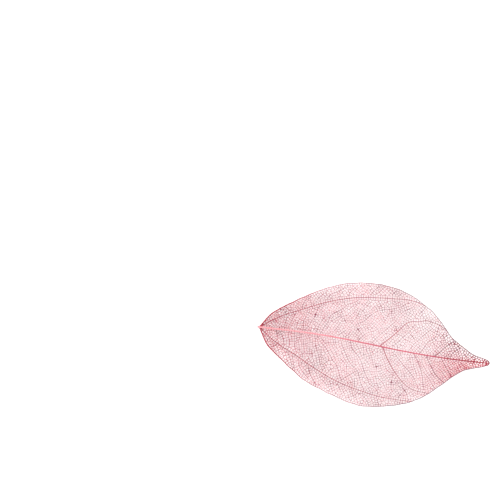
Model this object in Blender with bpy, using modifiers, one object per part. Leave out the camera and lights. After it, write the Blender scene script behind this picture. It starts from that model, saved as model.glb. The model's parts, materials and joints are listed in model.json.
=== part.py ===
"""Skeleton leaf: the net of veins that is left of a leaf when its soft tissue has gone.

Run it with blender --background --python part.py, or from Blender's text editor. It builds one
object, in metres, +Z up: the midrib runs along X with the tip at +X, and the leaf lies domed side
up on the plane Z = 0, on the torn foot of its stalk and on one low point of each margin.

The net is laid out on the flattened blade, as cells that fit between the main veins. Each cell is
then pierced, the sheet is bent to the dried leaf's shape, and it is thickened, most along the
veins, so that they stand proud on both faces.
"""

import math
import random

import bmesh
import bpy
from mathutils import Matrix, Vector, kdtree
from mathutils.geometry import delaunay_2d_cdt

MM = 0.001

# Driving dimensions
LENGTH = 90.0 * MM  # base of the blade to its tip
CELL_PITCH = 2.8 * MM  # width of one mesh of the net
NET_THICKNESS = 0.66 * MM  # the finest veins, measured through the leaf
MARGIN_THICKNESS = 0.76 * MM
LATERAL_THICKNESS = 1.20 * MM
MIDRIB_THICKNESS = 1.50 * MM  # at the base
MIDRIB_TIP_THICKNESS = 0.80 * MM
NET_HALF_WIDTH = 0.36 * MM  # half the width of the finest veins, seen from above
HALF_WIDTH_SHARE = 0.44  # half width of a thicker vein as a share of its thickness
STALK_RADIUS = 0.80 * MM
STALK_STUB = 1.2 * MM  # how far the torn stalk reaches past the blade
STALK_FOOT = 4.0 * MM  # how far along the midrib it lies flat on the ground
STALK_TAPER = 8.0 * MM  # how much further it runs on as it thins out into the midrib
STALK_SIDES = 8
STALK_END_SCALE = 0.45  # how thin the taper's end is against the foot
CONTACT_DEPTH = 0.08 * MM  # what is pressed flat where a margin touches the ground
SMALLEST_OPENING = 0.58 * MM  # a cell with less room than this, as a radius, stays closed
MOST_CLOSED = 0.62  # how far towards its middle a cell's opening may be closed

# How the meshes of the net are spaced
ONE_ROW = 1.3 * CELL_PITCH  # a half that is narrower than this holds one row of meshes
CLOSEST = 0.75 * CELL_PITCH  # between the middles of two meshes, before they are evened out
ROW_SPACING = math.sqrt(3) / 2 * CELL_PITCH
ROW_SLANT = 0.25  # how the rows shift towards the tip as they near the margin
SHAKE = 0.20 * CELL_PITCH
STEPS_A_PITCH = 8  # points to a pitch along a vein
RELAXING_STEPS = 2  # each one evens out the meshes between the veins
SEED = 11

# Half widths of the blade, as shares of its length: (place along the midrib, half width).
# Left and right are as seen from the base, with the domed side up.
LEFT_HALF = (
    (0.0, 0.006), (0.037, 0.063), (0.10, 0.113), (0.21, 0.186), (0.336, 0.243), (0.46, 0.262),
    (0.53, 0.260), (0.60, 0.246), (0.70, 0.197), (0.76, 0.153), (0.813, 0.095), (0.8825, 0.050),
    (0.921, 0.0285), (0.957, 0.020), (0.986, 0.0127), (1.0, 0.0),
)  # fmt: skip
RIGHT_HALF = (
    (0.0, 0.006), (0.037, 0.0655), (0.10, 0.115), (0.21, 0.190), (0.34, 0.238), (0.47, 0.268),
    (0.56, 0.260), (0.66, 0.232), (0.745, 0.186), (0.81, 0.127), (0.89, 0.052), (0.94, 0.031),
    (0.985, 0.014), (1.0, 0.0),
)  # fmt: skip
MIDRIB_BOW = 0.0085 * LENGTH  # the midrib's slight S, to either side of the straight line

# How the blade lies: (place along the midrib, height of the midrib), and how steeply each half
# falls from the midrib to its margin, as a rise over run.
RIDGE_HEIGHT = (
    (0.0, 0.95 * MM), (0.06, 1.20 * MM), (0.18, 2.6 * MM), (0.33, 4.3 * MM), (0.50, 5.1 * MM),
    (0.66, 5.0 * MM), (0.78, 5.5 * MM), (0.87, 6.8 * MM), (1.0, 9.3 * MM),
)  # fmt: skip
LEFT_FALL = (
    (0.0, 0.02), (0.15, 0.05), (0.35, 0.145), (0.55, 0.192), (0.75, 0.20), (0.87, 0.42),
    (0.95, 0.62), (1.0, 0.5),
)  # fmt: skip
RIGHT_FALL = (
    (0.0, 0.02), (0.15, 0.05), (0.35, 0.145), (0.60, 0.192), (0.75, 0.22), (0.82, 0.42),
    (0.88, 0.80), (0.94, 0.75), (1.0, 0.4),
)  # fmt: skip
FALL_CURVE = 0.38  # share of the fall that comes late, so that the halves arch: 0 is straight
WAVE_HEIGHT = 1.1 * MM  # the waved edge
WAVES = 2.6  # along the length
WAVED_FROM = 8.0 * MM  # half width below which the wave dies out
LEFT_TOUCH = 0.545  # where each margin touches the ground
RIGHT_TOUCH = 0.60

# The side veins, as (place along the midrib, distance from it) in shares of the length.
LEFT_VEINS = (
    ((0.0, 0.0), (0.09, 0.062), (0.26, 0.143), (0.40, 0.190), (0.55, 0.210), (0.66, 0.214)),
    ((0.52, 0.0), (0.56, 0.045), (0.62, 0.114), (0.68, 0.135), (0.74, 0.138), (0.805, 0.104)),
    ((0.755, 0.0), (0.798, 0.0406), (0.845, 0.071)),
)
RIGHT_VEINS = (
    ((0.0, 0.0), (0.09, 0.062), (0.26, 0.143), (0.40, 0.192), (0.55, 0.215), (0.695, 0.214)),
    ((0.53, 0.0), (0.555, 0.033), (0.58, 0.070), (0.623, 0.116), (0.678, 0.156), (0.765, 0.167)),
    ((0.733, 0.0), (0.7525, 0.040), (0.77, 0.068), (0.815, 0.110)),
)

LEAF_RED = (0.62, 0.035, 0.055, 1.0)


def smooth(stations, place):
    """The value at a place on a smooth curve through (place, value) stations."""
    if place <= stations[0][0]:
        return stations[0][1]
    if place >= stations[-1][0]:
        return stations[-1][1]
    steps = [b[0] - a[0] for a, b in zip(stations, stations[1:])]
    slopes = [(b[1] - a[1]) / step for a, b, step in zip(stations, stations[1:], steps)]
    i = max(k for k in range(len(steps)) if stations[k][0] <= place)

    def tangent(k):
        if k == 0 or k == len(steps):
            return slopes[min(k, len(steps) - 1)]
        before, after = steps[k - 1], steps[k]
        return (slopes[k - 1] * after + slopes[k] * before) / (before + after)

    u = (place - stations[i][0]) / steps[i]
    start, end = stations[i][1], stations[i + 1][1]
    return (
        start * (2 * u**3 - 3 * u**2 + 1)
        + end * (3 * u**2 - 2 * u**3)
        + steps[i] * (tangent(i) * (u**3 - 2 * u**2 + u) + tangent(i + 1) * (u**3 - u**2))
    )


def half_width(share, side):
    """Half width of the blade seen from above. Side is 1 on the left and -1 on the right."""
    return LENGTH * smooth(LEFT_HALF if side > 0 else RIGHT_HALF, share)


def fall(share, side):
    return smooth(LEFT_FALL if side > 0 else RIGHT_FALL, share)


def stretch(share, side):
    """How much wider a half is when it is pressed flat."""
    return math.hypot(1.0, fall(share, side))


def bent(flat):
    """The point of the dried leaf that a point of the flattened blade comes to."""
    share = flat.x / LENGTH
    side = 1 if flat.y >= 0 else -1
    width = max(half_width(share, side), 0.3 * MM)
    across = flat.y / stretch(share, side)
    reach = min(abs(across) / width, 1.3)
    drop = fall(share, side) * width * ((1 - FALL_CURVE) * reach + FALL_CURVE * reach**2)
    touch = LEFT_TOUCH if side > 0 else RIGHT_TOUCH
    wave = WAVE_HEIGHT * math.sin(math.pi * WAVES * (share - touch)) ** 2 * reach**2
    wave *= min(1.0, width / WAVED_FROM)
    bow = MIDRIB_BOW * math.sin(2 * math.pi * share) * max(0.0, 1 - reach**2)
    return Vector((flat.x, across + bow, smooth(RIDGE_HEIGHT, share) - drop + wave))


def flat_point(share, distance):
    """The place on the flattened blade of a point given in shares of the length, seen from above."""
    side = 1 if distance >= 0 else -1
    return Vector((share * LENGTH, distance * LENGTH * stretch(share, side)))


def evenly(points, pitch):
    """Points at even steps of about `pitch` along a line, from its first point to its last."""
    lengths = [0.0]
    for a, b in zip(points, points[1:]):
        lengths.append(lengths[-1] + (b - a).length)
    count = max(2, round(lengths[-1] / pitch))
    made = []
    k = 0
    for i in range(count + 1):
        goal = lengths[-1] * i / count
        while k < len(points) - 2 and lengths[k + 1] < goal:
            k += 1
        span = lengths[k + 1] - lengths[k]
        made.append(points[k].lerp(points[k + 1], (goal - lengths[k]) / span if span else 0.0))
    return made


def margin_line(side, samples=400):
    return [
        flat_point(i / samples, side * half_width(i / samples, side) / LENGTH)
        for i in range(samples + 1)
    ]


def vein_line(stations, side, samples=80):
    first, last = stations[0][0], stations[-1][0]
    shares = [first + (last - first) * i / samples for i in range(samples + 1)]
    return [flat_point(share, side * smooth(stations, share)) for share in shares]


def flat_width(point):
    """Half width of the flattened blade abreast of a point."""
    share = point.x / LENGTH
    side = 1 if point.y >= 0 else -1
    return half_width(share, side) * stretch(share, side)


def row_step(width):
    """How far a row of cell centres lies from the midrib or the margin, where a half is that wide.

    A half narrower than ONE_ROW holds one row, and any other has at least two.
    """
    return width / 2 if width < ONE_ROW else min(0.5 * CELL_PITCH, width / 4)


class Layout:
    """Cell centres of the net.

    A pair of centres, one on each side of a vein, puts a cell wall on the vein. In the same way
    each centre near the margin has a twin outside, mirrored over the margin.
    """

    def __init__(self):
        self.fixed = []
        self.walls = []
        self.margins = {side: margin_line(side) for side in (1, -1)}

    def has_room(self, point):
        return all((point - other).length > CLOSEST for other in self.fixed)

    def add_midrib(self):
        count = round(LENGTH / CELL_PITCH)
        for i in range(count):
            x = LENGTH * (i + 0.5) / count
            for side in (1, -1):
                self.fixed.append(Vector((x, side * row_step(flat_width(Vector((x, side)))))))
        self.add_walls([Vector((0.0, 0.0)), Vector((LENGTH, 0.0))],
                       MIDRIB_THICKNESS, MIDRIB_TIP_THICKNESS)  # fmt: skip

    def add_vein(self, line, thickness, end_thickness):
        points = evenly(line, CELL_PITCH)
        for a, b in zip(points, points[1:]):
            across = Vector((a.y - b.y, b.x - a.x)).normalized() * 0.5 * CELL_PITCH
            pair = ((a + b) / 2 + across, (a + b) / 2 - across)
            if all(self.has_room(point) and self.depth(point) > CLOSEST / 2 for point in pair):
                self.fixed += pair
        self.add_walls(line, thickness, end_thickness)

    def add_margin(self, side):
        line = evenly(self.margins[side], CELL_PITCH / STEPS_A_PITCH)
        for k in range(STEPS_A_PITCH // 2, len(line) - 1, STEPS_A_PITCH):
            along = (line[k + 1] - line[k - 1]).normalized()
            inward = Vector((along.y, -along.x)) * side * row_step(abs(line[k].y))
            if self.has_room(line[k] + inward):
                self.fixed.append(line[k] + inward)
        self.add_walls(line, MARGIN_THICKNESS, MARGIN_THICKNESS)

    def add_walls(self, line, thickness, end_thickness):
        """Notes points along a vein, and how thick it is there."""
        points = evenly(line, CELL_PITCH / STEPS_A_PITCH)
        for i, point in enumerate(points):
            share = i / (len(points) - 1)
            self.walls.append((point, thickness + (end_thickness - thickness) * share))

    def nearest_margin(self, point):
        line = self.margins[1 if point.y >= 0 else -1]
        return min(line, key=lambda on_line: (on_line - point).length_squared)

    def depth(self, point):
        """How far in from the margin a point lies, or less than nothing outside."""
        if not 0 < point.x < LENGTH or abs(point.y) > flat_width(point):
            return -1.0
        return (self.nearest_margin(point) - point).length

    def twins(self, centres):
        """The centres' mirror images over the margin, and over the two ends."""
        near = [point for point in centres if self.depth(point) < 1.3 * CELL_PITCH]
        made = [2 * self.nearest_margin(point) - point for point in near]
        made += [Vector((-point.x, point.y)) for point in near if point.x < CELL_PITCH]
        made += [Vector((2 * LENGTH - p.x, p.y)) for p in near if p.x > LENGTH - CELL_PITCH]
        return made

    def fill(self, rng):
        """Centres in offset rows, shaken a little, wherever the veins leave room."""
        free = []
        rows = int(max(abs(p.y) for p in self.margins[1] + self.margins[-1]) / ROW_SPACING)
        for row in range(-rows, rows + 1):
            y = row * ROW_SPACING
            x = (0.5 * (row % 2) + 0.25) * CELL_PITCH + ROW_SLANT * abs(y)
            while x < LENGTH:
                point = Vector((x + rng.uniform(-SHAKE, SHAKE), y + rng.uniform(-SHAKE, SHAKE)))
                x += CELL_PITCH
                if self.depth(point) > 0.5 * CELL_PITCH and self.has_room(point):
                    free.append(point)
        return free


def cells_round(centres, count):
    """The first `count` centres' cells, each a list of its corners in order, as points."""
    corners = [[] for _ in centres]
    points, _, triangles, origins, _, _ = delaunay_2d_cdt(centres, [], [], 0, 1e-9)
    for triangle in triangles:
        a, b, c = (points[i] for i in triangle)
        d = 2 * ((b - a).cross(c - a))
        if abs(d) < 1e-14:
            continue
        ab, ac = b - a, c - a
        middle = a + Vector((
            (ac.y * ab.length_squared - ab.y * ac.length_squared) / d,
            (ab.x * ac.length_squared - ac.x * ab.length_squared) / d,
        ))  # fmt: skip
        for i in triangle:
            for origin in origins[i]:
                corners[origin].append(middle)
    for centre, around in zip(centres[:count], corners):
        around.sort(key=lambda p: math.atan2(p.y - centre.y, p.x - centre.x))
    return corners[:count]


def middle_of(corners):
    return sum(corners, Vector((0.0, 0.0))) / len(corners)


def lay_out_net():
    """The net's cells on the flattened blade, and the points of the veins that they lie between."""
    layout = Layout()
    layout.add_midrib()
    for side, veins in ((1, LEFT_VEINS), (-1, RIGHT_VEINS)):
        for stations in veins:
            layout.add_vein(vein_line(stations, side), LATERAL_THICKNESS, MARGIN_THICKNESS)
    layout.add_margin(1)
    layout.add_margin(-1)
    free = layout.fill(random.Random(SEED))
    for _ in range(RELAXING_STEPS):
        centres = free + layout.fixed
        free = [middle_of(cell) for cell in cells_round(centres + layout.twins(centres), len(free))]
    centres = free + layout.fixed
    return cells_round(centres + layout.twins(centres), len(centres)), layout.walls


def vein_thickness_at(tree, walls, point):
    """How thick the leaf is at a corner of the net: as a vein on it, and as the net clear of it."""
    _, i, distance = tree.find((point.x, point.y, 0))
    clear = (distance / CELL_PITCH - 0.18) / 0.12
    return walls[i][1] + (NET_THICKNESS - walls[i][1]) * min(1.0, max(0.0, clear))


def pierced_sheet(cells, walls):
    """A flat sheet of the cells, each with its opening, and how thick the leaf is at its corners."""
    tree = kdtree.KDTree(len(walls))
    for i, (point, _) in enumerate(walls):
        tree.insert((point.x, point.y, 0), i)
    tree.balance()

    sheet = bmesh.new()
    thickness = sheet.verts.layers.float.new("thickness")
    for corners in cells:
        sheet.faces.new([sheet.verts.new((p.x, p.y, 0)) for p in corners])
    bmesh.ops.remove_doubles(sheet, verts=sheet.verts, dist=0.20 * CELL_PITCH)
    bmesh.ops.recalc_face_normals(sheet, faces=sheet.faces)
    if sheet.faces[:][0].normal.z < 0:
        bmesh.ops.reverse_faces(sheet, faces=sheet.faces)
    for vert in sheet.verts:
        vert[thickness] = vein_thickness_at(tree, walls, vert.co)

    pierced = [face for face in sheet.faces if opening_radius(face) > SMALLEST_OPENING]
    outer = {face: [(v.co.copy(), v[thickness]) for v in face.verts] for face in pierced}
    bmesh.ops.inset_individual(sheet, faces=pierced, thickness=0.01 * MM)
    for face in pierced:
        middle = face.calc_center_median()
        radius = opening_radius(face)
        for vert, (corner, thick) in zip(face.verts, outer[face]):
            half = NET_HALF_WIDTH + HALF_WIDTH_SHARE * (thick - NET_THICKNESS)
            vert.co = corner.lerp(middle, min(MOST_CLOSED, half / radius))
            vert[thickness] = NET_THICKNESS
    bmesh.ops.delete(sheet, geom=pierced, context="FACES_ONLY")
    bmesh.ops.triangulate(sheet, faces=sheet.faces)
    return sheet


def opening_radius(face):
    """Distance from the middle of a cell to its nearest side."""
    middle = face.calc_center_median()
    return min(
        ((edge.verts[1].co - edge.verts[0].co).cross(middle - edge.verts[0].co)).length
        / max(edge.calc_length(), 1e-9)
        for edge in face.edges
    )


def add_object(name, mesh, collection):
    made = bpy.data.objects.new(name, mesh)
    collection.objects.link(made)
    return made


def thickened_net(collection):
    """The blade: the pierced sheet, bent and made solid."""
    sheet = pierced_sheet(*lay_out_net())
    mesh = bpy.data.meshes.new("skeleton_leaf")
    thickness = sheet.verts.layers.float["thickness"]
    sheet.verts.index_update()
    values = [vert[thickness] for vert in sheet.verts]
    for vert in sheet.verts:
        vert.co = bent(vert.co)
    sheet.to_mesh(mesh)
    sheet.free()

    leaf = add_object("skeleton_leaf", mesh, collection)
    group = leaf.vertex_groups.new(name="vein_thickness")
    for i, value in enumerate(values):
        group.add([i], (value - NET_THICKNESS) / (MIDRIB_THICKNESS - NET_THICKNESS), "REPLACE")
    solid = leaf.modifiers.new("Thickness", "SOLIDIFY")
    solid.thickness = MIDRIB_THICKNESS
    solid.offset = 0
    solid.vertex_group = group.name
    solid.thickness_vertex_group = NET_THICKNESS / MIDRIB_THICKNESS
    return leaf


def stalk_foot(collection):
    """The torn foot of the stalk: one facet lies on the ground, and it thins out into the midrib."""
    foot = bmesh.new()
    length = STALK_STUB + STALK_FOOT
    bmesh.ops.create_cone(
        foot, cap_ends=True, segments=STALK_SIDES, depth=length,
        radius1=STALK_RADIUS, radius2=STALK_RADIUS,
    )  # fmt: skip
    half_facet = math.pi / STALK_SIDES
    foot.transform(Matrix.Rotation(math.pi / 2, 4, "Y") @ Matrix.Rotation(half_facet, 4, "Z"))
    height = STALK_RADIUS * math.cos(half_facet)
    foot.transform(Matrix.Translation((length / 2 - STALK_STUB, 0, height)))
    foot.normal_update()
    inner = [face for face in foot.faces if face.normal.x > 0.9]
    taper = bmesh.ops.extrude_discrete_faces(foot, faces=inner)["faces"][0]
    end = bent(Vector((STALK_FOOT + STALK_TAPER, 0, 0)))
    bmesh.ops.translate(foot, verts=taper.verts, vec=end - taper.calc_center_median())
    bmesh.ops.scale(
        foot, verts=taper.verts, vec=[STALK_END_SCALE] * 3, space=Matrix.Translation(-end)
    )
    mesh = bpy.data.meshes.new("stalk_foot")
    foot.to_mesh(mesh)
    foot.free()
    return add_object("stalk_foot", mesh, collection)


def apply_modifiers(leaf):
    """Replaces the object's mesh with what its modifiers make of it."""
    graph = bpy.context.evaluated_depsgraph_get()
    mesh = bpy.data.meshes.new_from_object(leaf.evaluated_get(graph))
    leaf.modifiers.clear()
    leaf.vertex_groups.clear()
    leaf.data = mesh


def set_down(leaf):
    """Lets each half sag, or lifts it, until its margin's lowest point is pressed on the ground."""
    for side in (1, -1):
        half = [v for v in leaf.data.vertices if v.co.y * side > 0]
        low = min((v for v in half if v.co.y * side > 0.5 * CELL_PITCH), key=lambda v: v.co.z)
        sag, reach = low.co.z + CONTACT_DEPTH, low.co.y
        for vert in half:
            vert.co.z = max(0.0, vert.co.z - sag * (vert.co.y / reach) ** 2)


def centre(leaf):
    """Moves the origin to the middle of the leaf's box, on the ground."""
    xs = [v.co.x for v in leaf.data.vertices]
    ys = [v.co.y for v in leaf.data.vertices]
    shift = Vector((-(min(xs) + max(xs)) / 2, -(min(ys) + max(ys)) / 2, 0))
    leaf.data.transform(Matrix.Translation(shift))


def dyed_vein_material():
    material = bpy.data.materials.new("red_dyed_veins")
    material.use_nodes = True
    shader = material.node_tree.nodes["Principled BSDF"]
    shader.inputs["Base Color"].default_value = LEAF_RED
    shader.inputs["Roughness"].default_value = 0.62
    shader.inputs["Metallic"].default_value = 0.0
    return material


def build():
    for obj in list(bpy.data.objects):
        bpy.data.objects.remove(obj)
    collection = bpy.data.collections.new("Skeleton leaf")
    bpy.context.scene.collection.children.link(collection)

    leaf = thickened_net(collection)
    apply_modifiers(leaf)
    set_down(leaf)
    foot = stalk_foot(collection)
    joined = leaf.modifiers.new("Stalk foot", "BOOLEAN")
    joined.operation = "UNION"
    joined.solver = "EXACT"
    joined.object = foot
    apply_modifiers(leaf)
    bpy.data.objects.remove(foot)
    centre(leaf)
    leaf.data.materials.clear()
    leaf.data.materials.append(dyed_vein_material())


build()
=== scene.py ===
"""A skeleton leaf, dyed red, lying on a white studio sweep.

The leaf is built vein by vein: a fine net, which carries the cross veins, the veinlets inside its
meshes, and over them the edge vein, the side veins and the midrib with its torn stalk. All of them
lie on one bent surface, the dried blade. Lengths are in metres, and shares of the blade's length
where said. A mesh of the net is one of its openings.
"""

import json
import math
import random
from collections import defaultdict

import bmesh
import bpy
from bpy.props import FloatProperty, FloatVectorProperty, IntProperty, PointerProperty
from mathutils import Matrix, Vector, kdtree, noise
from mathutils.geometry import delaunay_2d_cdt


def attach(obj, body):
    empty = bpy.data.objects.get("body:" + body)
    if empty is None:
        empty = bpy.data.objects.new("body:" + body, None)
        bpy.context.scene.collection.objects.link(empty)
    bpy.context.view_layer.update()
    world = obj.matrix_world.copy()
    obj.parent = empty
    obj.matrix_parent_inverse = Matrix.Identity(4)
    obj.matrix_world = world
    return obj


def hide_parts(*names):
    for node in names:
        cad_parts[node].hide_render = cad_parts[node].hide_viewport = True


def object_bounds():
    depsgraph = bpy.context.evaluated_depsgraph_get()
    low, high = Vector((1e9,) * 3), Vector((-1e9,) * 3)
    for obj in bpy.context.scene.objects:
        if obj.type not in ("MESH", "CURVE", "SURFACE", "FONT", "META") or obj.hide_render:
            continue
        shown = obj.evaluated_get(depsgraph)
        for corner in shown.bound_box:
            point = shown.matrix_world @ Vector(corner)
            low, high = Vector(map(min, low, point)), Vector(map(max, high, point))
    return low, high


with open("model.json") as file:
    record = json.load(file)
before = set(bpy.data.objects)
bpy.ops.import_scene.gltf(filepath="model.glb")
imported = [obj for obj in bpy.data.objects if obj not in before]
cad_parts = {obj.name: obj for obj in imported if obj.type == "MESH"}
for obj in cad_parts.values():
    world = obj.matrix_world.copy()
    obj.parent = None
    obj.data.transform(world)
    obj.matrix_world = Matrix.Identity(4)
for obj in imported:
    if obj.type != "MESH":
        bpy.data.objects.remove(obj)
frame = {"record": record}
CAD_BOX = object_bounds()

bl_info = {
    "name": "Dyed skeleton leaf",
    "version": (1, 0, 0),
    "blender": (4, 5, 0),
    "location": "View3D > Sidebar > Leaf",
    "description": "Builds a red-dyed skeleton leaf, vein by vein, on a white sweep",
    "category": "Object",
}

MM = 0.001
NODE = "skeleton_leaf"
REST = frame["record"]["mounts"][0]["pos_m"]

# The blade in the leaf's own frame: the stalk end of the blade is at x = 0, on the midrib's line
LENGTH = 90.0 * MM
STALK_STUB = 1.2 * MM  # how far the torn stalk reaches past the blade
BASE = Vector((CAD_BOX[0][0] + STALK_STUB, REST[1], 0.0))  # the blade's base, in the part's frame

# Where the leaf lies in the photograph, in pixels of its 500 by 500 frame
PHOTO_SIDE = 500
PHOTO_BASE = Vector((260.0, 327.0))
PHOTO_TIP = Vector((488.7, 363.0))

# Half widths as shares of the length: (place along the midrib, half width)
LEFT_HALF = (
    (0.0, 0.006), (0.037, 0.063), (0.10, 0.113), (0.21, 0.186), (0.336, 0.243), (0.46, 0.262),
    (0.53, 0.260), (0.60, 0.246), (0.70, 0.197), (0.76, 0.153), (0.813, 0.095), (0.8825, 0.050),
    (0.921, 0.0285), (0.957, 0.020), (0.986, 0.0135), (0.9955, 0.0085), (1.0, 0.0),
)
RIGHT_HALF = (
    (0.0, 0.006), (0.037, 0.0655), (0.10, 0.115), (0.21, 0.190), (0.34, 0.238), (0.47, 0.268),
    (0.56, 0.260), (0.66, 0.232), (0.745, 0.186), (0.81, 0.127), (0.89, 0.052), (0.94, 0.031),
    (0.985, 0.0145), (0.9955, 0.0088), (1.0, 0.0),
)
MIDRIB_BOW = 0.0085 * LENGTH

# How the dried blade lies: the midrib's height, and each half's fall from it as a rise over run
RIDGE_HEIGHT = (
    (0.0, 0.455 * MM), (0.06, 0.95 * MM), (0.18, 2.6 * MM), (0.33, 4.3 * MM), (0.50, 5.1 * MM),
    (0.66, 5.0 * MM), (0.78, 5.5 * MM), (0.87, 6.8 * MM), (1.0, 9.1 * MM),
)
LEFT_FALL = (
    (0.0, 0.02), (0.15, 0.05), (0.35, 0.145), (0.55, 0.192), (0.75, 0.20), (0.87, 0.42),
    (0.95, 0.62), (1.0, 0.5),
)
RIGHT_FALL = (
    (0.0, 0.02), (0.15, 0.05), (0.35, 0.145), (0.60, 0.192), (0.75, 0.22), (0.82, 0.42),
    (0.88, 0.80), (0.94, 0.75), (1.0, 0.4),
)
FALL_CURVE = 0.38
WAVE_HEIGHT = 1.1 * MM
WAVES = 2.6
WAVED_FROM = 8.0 * MM  # narrower halves wave less
KINK = 0.35 * MM  # how far the dried margin strays from its smooth outline
KINK_SIZE = 3.5 * MM
TOUCH = {1: 0.545, -1: 0.60}  # where the left and the right margin touch the ground
CRINKLE_HEIGHT = 0.10 * MM  # the small unevenness of a dried blade
CRINKLE_SIZE = 6.0 * MM
CRINKLED_FROM = 0.25  # no crinkle on the midrib, all of it from this share of a half's width on
LEAST_HALF = 0.3 * MM  # taken as a half's width where it is narrower
FURTHEST = 1.3  # how far out the surface goes on falling, in widths of a half
LOW_SHARES = [i / 300 for i in range(60, 240)]  # where along the margin its low point is looked for

# Radius of the vein that edges the blade
EDGE_RADIUS = (
    (0.0, 0.24 * MM), (0.1, 0.20 * MM), (0.2, 0.14 * MM), (0.45, 0.11 * MM), (0.65, 0.12 * MM),
    (0.85, 0.15 * MM), (1.0, 0.14 * MM),
)

# Radius of the midrib, from the end of the torn stalk to the tip
MIDRIB_RADIUS = (
    (-0.013, 0.44 * MM), (0.0, 0.42 * MM), (0.05, 0.37 * MM), (0.3, 0.32 * MM), (0.6, 0.29 * MM),
    (0.85, 0.27 * MM), (0.97, 0.25 * MM), (1.0, 0.16 * MM),
)
MIDRIB_SIDES = 18
MIDRIB_RINGS = 150
RINGS_SPREAD = 1.15  # above 1, the rings lie closer at the stalk than at the tip
MIDRIB_END = 0.15 * MM  # how far short of the blade's end the midrib stops
TORN_DEPTH = 0.55 * MM  # how unevenly the fibres of the stalk broke

# Side veins: (place along the midrib, distance from it) in shares of the length
BASAL_LEFT = ((0.0, 0.0), (0.03, 0.024), (0.09, 0.062), (0.16, 0.095), (0.26, 0.143), (0.33, 0.170),
              (0.40, 0.190), (0.48, 0.203), (0.55, 0.211), (0.62, 0.216), (0.69, 0.204))
BASAL_RIGHT = ((0.0, 0.0), (0.03, 0.025), (0.092, 0.0645), (0.159, 0.095), (0.258, 0.1425),
               (0.332, 0.172), (0.405, 0.193), (0.477, 0.2055), (0.548, 0.2155), (0.618, 0.217),
               (0.70, 0.2155))
SIDE_VEINS = {
    1: (
        BASAL_LEFT,
        ((0.520, 0.0), (0.545, 0.026), (0.593, 0.082), (0.618, 0.115), (0.678, 0.135),
         (0.709, 0.143), (0.736, 0.138), (0.771, 0.127), (0.808, 0.101)),
        ((0.757, 0.0), (0.777, 0.016), (0.798, 0.041), (0.828, 0.066), (0.842, 0.073)),
    ),
    -1: (
        BASAL_RIGHT,
        ((0.530, 0.0), (0.540, 0.009), (0.554, 0.033), (0.581, 0.070), (0.623, 0.116),
         (0.678, 0.156), (0.714, 0.165), (0.743, 0.167), (0.766, 0.171)),
        ((0.727, 0.0), (0.734, 0.016), (0.752, 0.040), (0.771, 0.068), (0.800, 0.097),
         (0.822, 0.113)),
    ),
}
# The finer veins between them
BETWEEN_VEINS = {
    1: (
        ((0.695, 0.0), (0.711, 0.029), (0.724, 0.055), (0.746, 0.073), (0.757, 0.094),
         (0.761, 0.125)),
        ((0.82, 0.0), (0.842, 0.030), (0.862, 0.046)),
    ),
    -1: (
        ((0.672, 0.0), (0.679, 0.011), (0.700, 0.043), (0.727, 0.106), (0.737, 0.150)),
        ((0.79, 0.0), (0.818, 0.040), (0.848, 0.080)),
    ),
}
THIN_SIDE_VEIN = SIDE_VEINS[-1][2]
THINNER = 0.65  # its width, as a share of the others'
SIDE_VEIN_END = 0.65  # a side vein's radius at its end, as a share of that at its start
BETWEEN_RADIUS = (0.6, 0.45)  # at both ends of a finer vein, as shares of the side veins' radius
VEIN_STEP = 0.7 * MM  # the side and finer veins bend in such steps
EDGE_STEP = 0.4 * MM  # and the edge vein in these
TUBE_SIDES = 8

# The rows of meshes run out from the midrib and bend towards the tip. Their lean is a run along the
# leaf over a rise across it, and they wander a little from it. Real rows lie 0.86 mm apart. They
# are drawn at the pitch that the panel gives, 1.00 mm, which is as coarse as they need to show.
MIDRIB_LEAN = 0.18
OUTER_LEAN = 0.72
OUTER_LEAN_AT_BASE = 0.35
FULL_LEAN_AT = 0.40  # the share of the length from which the outer lean is full
BEND_WITHIN = 7.0 * MM  # most of the bend lies within this distance of the midrib
WANDER = 1.0 * MM
WANDER_SIZE = 13.0 * MM
WANDER_FROM = 4.0 * MM  # no wandering on the midrib, all of it this far out
RIPPLE = 0.9 * MM  # a shorter wander, strongest at the base and gone at RIPPLE_END
RIPPLE_SIZE = 4.5 * MM
RIPPLE_END = 0.75  # a share of the length
FIRST_ROW = -0.25  # the first row's start on the midrib's line, as a share of the length
SPREAD_FROM = 38.0 * MM  # past this the rows lie further apart, the more so the nearer the tip
SPREAD = 1.9  # how far apart: a row is moved by this times the square of its way past that
OPENING = 5.0  # the rows open towards the margin, by this share of their place for each metre out
ROW_JITTER = 0.20  # how far a mesh strays from its row, as a share of the rows' pitch
MESH_JITTER = 0.30  # how unevenly the meshes follow each other in a row, as a share of their length
STEADIER_AT_TIP = 0.6  # how much less both jitters are at the tip, as a share
GUESSED_LEAN = 0.7  # a row is found from a guess at this lean, in steps that each mend a share
ROW_STEPS = 12
MENDED = 0.75
HEADING_STEP = 0.2 * MM  # a row's direction is read over this distance

# The layout of the meshes. Distances are in lengths of a mesh along its row, unless said.
MESH_ALONG_ROW = 0.94  # that length, as a share of the rows' pitch
STEPS_A_MESH = 8  # points on a vein for each
CLOSEST_FIXED = 0.66  # the middles along the veins keep this distance
NARROW_HALF = 1.3  # a half of the blade narrower than this has one row, in its middle
PAIR_DEPTH = 0.3  # the pairs along a vein lie at least this far in from the margin
FREE_DEPTH = 0.5  # and the middles in the rows this far
START_DEPTH = 1.2  # a cross vein starts at least this far in
TWIN_DEPTH = 1.3  # the middles nearer the margin than this have twins outside
FIRST_MESH = (0.6, 1.4)  # the nearest and furthest first mesh of a row from the midrib
JOINED_WITHIN = 0.2  # corners of the net closer than this are one
VEIN_CELL = 0.5  # a vein ends where it comes into a square of this size that holds another

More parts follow.
